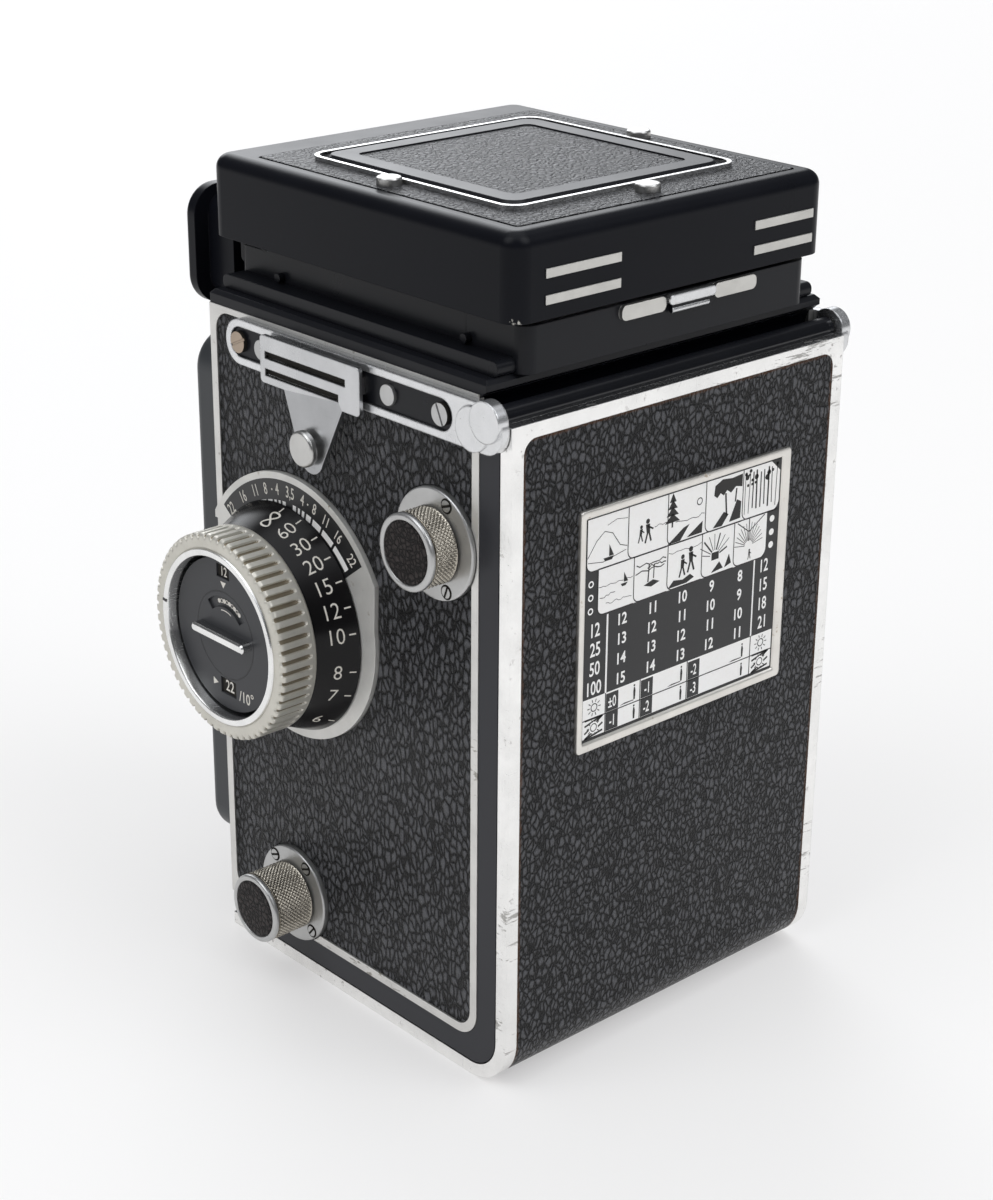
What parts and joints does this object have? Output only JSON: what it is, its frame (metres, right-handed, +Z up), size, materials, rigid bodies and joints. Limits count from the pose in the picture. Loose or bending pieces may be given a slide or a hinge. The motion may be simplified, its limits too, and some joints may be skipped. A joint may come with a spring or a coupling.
{
  "type": "twin lens reflex camera",
  "caption": "Box-shaped twin lens reflex camera with folding finder hood, side focusing knob, film crank and hinged back with exposure table.",
  "frame": {"origin": "on the axis of the tripod socket, in the plane the camera stands on", "axes": "+Z up, the lenses face -Y, the hinged back is at +Y, the focusing knob is on +X and the film crank on -X"},
  "size_m": [0.1118, 0.1087, 0.1507],
  "materials": {
    "black_paint": "semi-gloss black paint",
    "black_leather": "pebbled, slightly glossy",
    "chrome": "bright chrome with wear",
    "satin_nickel": "satin",
    "brushed_steel": "satin",
    "aluminium_plate": "printed plate",
    "clear_glass": "clear",
    "ground_glass": "ground",
    "mirror": "silvered",
    "black_plastic": "matte"
  },
  "bodies": {
    "camera_body": {"body_casting": "black_paint", "top_plate": "black_paint", "focusing_screen": "ground_glass", "reflex_mirror": "mirror", "body_trim": "chrome", "body_leather": "black_leather", "strap_bars": "chrome", "strap_bar_insets": "black_paint", "left_strap_plate": "chrome", "right_strap_plate": "chrome", "side_screws": "brushed_steel", "knob_base_plates": "satin_nickel", "depth_of_field_plate": "chrome", "frame_counter": "chrome", "tripod_bridge": "brushed_steel", "pivot_pins": "brushed_steel", "meter_housing": "black_paint", "meter_cell_window": "clear_glass", "hood_base": "black_paint", "hood_rails": "black_paint"},
    "lens_standard": {"lens_standard": "black_paint", "standard_face_leather": "black_paint", "shutter_housing": "satin_nickel", "taking_lens_barrel": "black_paint", "viewing_lens_barrel": "black_paint", "lens_bayonets": "chrome", "lens_elements": "clear_glass", "readout_housing": "black_paint", "front_fittings": "chrome"},
    "aperture_wheel": {"aperture_wheel": "satin_nickel"},
    "speed_wheel": {"speed_wheel": "satin_nickel"},
    "release_button": {"release_button": "chrome"},
    "selftimer_lever": {"selftimer_lever": "chrome"},
    "focus_knob": {"focus_scale_skirt": "black_paint", "focus_grip_ring": "satin_nickel"},
    "film_reminder": {"film_reminder_dial": "black_paint", "dial_handle": "chrome"},
    "upper_spool_knob": {"upper_spool_knob": "satin_nickel"},
    "lower_spool_knob": {"lower_spool_knob": "satin_nickel"},
    "takeup_spool": {"takeup_spool": "black_plastic"},
    "supply_spool": {"supply_spool": "black_plastic"},
    "upper_film_roller": {"upper_film_roller": "brushed_steel"},
    "lower_film_roller": {"lower_film_roller": "brushed_steel"},
    "film_crank": {"film_crank": "satin_nickel"},
    "crank_grip": {"crank_grip": "satin_nickel"},
    "back_door": {"back_door": "chrome", "door_leather": "black_leather", "exposure_table": "aluminium_plate", "pressure_plate": "black_paint"},
    "door_latch": {"door_latch": "chrome"},
    "hood_lid": {"lid_shell": "black_paint", "lid_leather": "black_leather", "sports_finder_frame": "black_paint", "lid_bright_trim": "chrome"},
    "magnifier": {"magnifier_frame": "black_paint", "magnifier_lens": "clear_glass"},
    "left_hood_leaf": {"left_hood_leaf": "black_paint"},
    "right_hood_leaf": {"right_hood_leaf": "black_paint"},
    "rear_hood_leaf": {"rear_hood_leaf": "black_paint"},
    "hood_catch": {"hood_catch": "chrome"}
  },
  "joints": [
    {"name": "focus_slide", "type": "slide", "parent": "camera_body", "child": "lens_standard", "axis": [0, -1, 0], "range_m": [0, 0.008]},
    {"name": "focus_turn", "type": "hinge", "parent": "camera_body", "child": "focus_knob", "pos_m": [0.047, -0.0185, 0.0713], "axis": [1, 0, 0], "range_deg": [0, 200]},
    {"name": "film_reminder_turn", "type": "hinge", "parent": "focus_knob", "child": "film_reminder", "pos_m": [0.053, -0.0185, 0.0713], "axis": [1, 0, 0], "range_deg": [-150, 150]},
    {"name": "aperture_turn", "type": "hinge", "parent": "lens_standard", "child": "aperture_wheel", "pos_m": [0.023, -0.056, 0.0706], "axis": [0, -1, 0], "range_deg": [-60, 60]},
    {"name": "speed_turn", "type": "hinge", "parent": "lens_standard", "child": "speed_wheel", "pos_m": [-0.023, -0.056, 0.0706], "axis": [0, -1, 0], "range_deg": [-60, 60]},
    {"name": "release_press", "type": "slide", "parent": "lens_standard", "child": "release_button", "axis": [0, 1, 0], "range_m": [0, 0.0025], "stiffness_N_per_m": 200},
    {"name": "selftimer_swing", "type": "hinge", "parent": "lens_standard", "child": "selftimer_lever", "pos_m": [0, -0.058, 0.048], "axis": [0, 1, 0], "range_deg": [0, 60]},
    {"name": "upper_knob_pull", "type": "slide", "parent": "camera_body", "child": "upper_spool_knob", "axis": [1, 0, 0], "range_m": [0, 0.006]},
    {"name": "lower_knob_pull", "type": "slide", "parent": "camera_body", "child": "lower_spool_knob", "axis": [1, 0, 0], "range_m": [0, 0.006]},
    {"name": "crank_turn", "type": "hinge", "parent": "camera_body", "child": "film_crank", "pos_m": [-0.042, 0.004, 0.064], "axis": [-1, 0, 0], "range_deg": [0, 230]},
    {"name": "takeup_turn", "type": "hinge", "parent": "camera_body", "child": "takeup_spool", "pos_m": [0, 0.0215, 0.0966], "axis": [-1, 0, 0], "range_deg": [0, 230]},
    {"name": "supply_turn", "type": "hinge", "parent": "camera_body", "child": "supply_spool", "pos_m": [0, -0.0188, 0.0153], "axis": [1, 0, 0], "continuous": true},
    {"name": "upper_roller_turn", "type": "hinge", "parent": "camera_body", "child": "upper_film_roller", "pos_m": [0, 0.0308, 0.081], "axis": [1, 0, 0], "continuous": true},
    {"name": "lower_roller_turn", "type": "hinge", "parent": "camera_body", "child": "lower_film_roller", "pos_m": [0, 0.0295, 0.0095], "axis": [1, 0, 0], "continuous": true},
    {"name": "crank_grip_spin", "type": "hinge", "parent": "film_crank", "child": "crank_grip", "pos_m": [-0.051, 0.004, 0.0846], "axis": [-1, 0, 0], "continuous": true},
    {"name": "door_hinge", "type": "hinge", "parent": "camera_body", "child": "back_door", "pos_m": [0, 0.035, 0.1208], "axis": [1, 0, 0], "range_deg": [0, 105]},
    {"name": "door_latch_slide", "type": "slide", "parent": "back_door", "child": "door_latch", "axis": [1, 0, 0], "range_m": [-0.005, 0.005]},
    {"name": "lid_hinge", "type": "hinge", "parent": "camera_body", "child": "hood_lid", "pos_m": [0, -0.0385, 0.146], "axis": [1, 0, 0], "range_deg": [0, 90]},
    {"name": "magnifier_swing", "type": "hinge", "parent": "hood_lid", "child": "magnifier", "pos_m": [0, -0.0046, 0.1454], "axis": [-1, 0, 0], "range_deg": [0, 90]},
    {"name": "left_leaf_hinge", "type": "hinge", "parent": "camera_body", "child": "left_hood_leaf", "pos_m": [0.03035, 0, 0.1296], "axis": [0, 1, 0], "range_deg": [0, 90]},
    {"name": "right_leaf_hinge", "type": "hinge", "parent": "camera_body", "child": "right_hood_leaf", "pos_m": [-0.03035, 0, 0.1296], "axis": [0, -1, 0], "range_deg": [0, 90]},
    {"name": "rear_leaf_hinge", "type": "hinge", "parent": "camera_body", "child": "rear_hood_leaf", "pos_m": [0, 0.0324, 0.1325], "axis": [-1, 0, 0], "range_deg": [0, 90]},
    {"name": "hood_catch_lift", "type": "hinge", "parent": "camera_body", "child": "hood_catch", "pos_m": [-0.0032, 0.03555, 0.1314], "axis": [-1, 0, 0], "range_deg": [0, 25], "stiffness_Nm_per_rad": 0.01}
  ],
  "couplings": [
    {"joint": "focus_turn", "follows": "focus_slide", "rad_per_m": 436.32},
    {"joint": "takeup_turn", "follows": "crank_turn", "ratio": 1},
    {"joint": "magnifier_swing", "follows": "lid_hinge", "ratio": 1},
    {"joint": "left_leaf_hinge", "follows": "lid_hinge", "ratio": 1},
    {"joint": "right_leaf_hinge", "follows": "lid_hinge", "ratio": 1},
    {"joint": "rear_leaf_hinge", "follows": "lid_hinge", "ratio": 1}
  ]
}
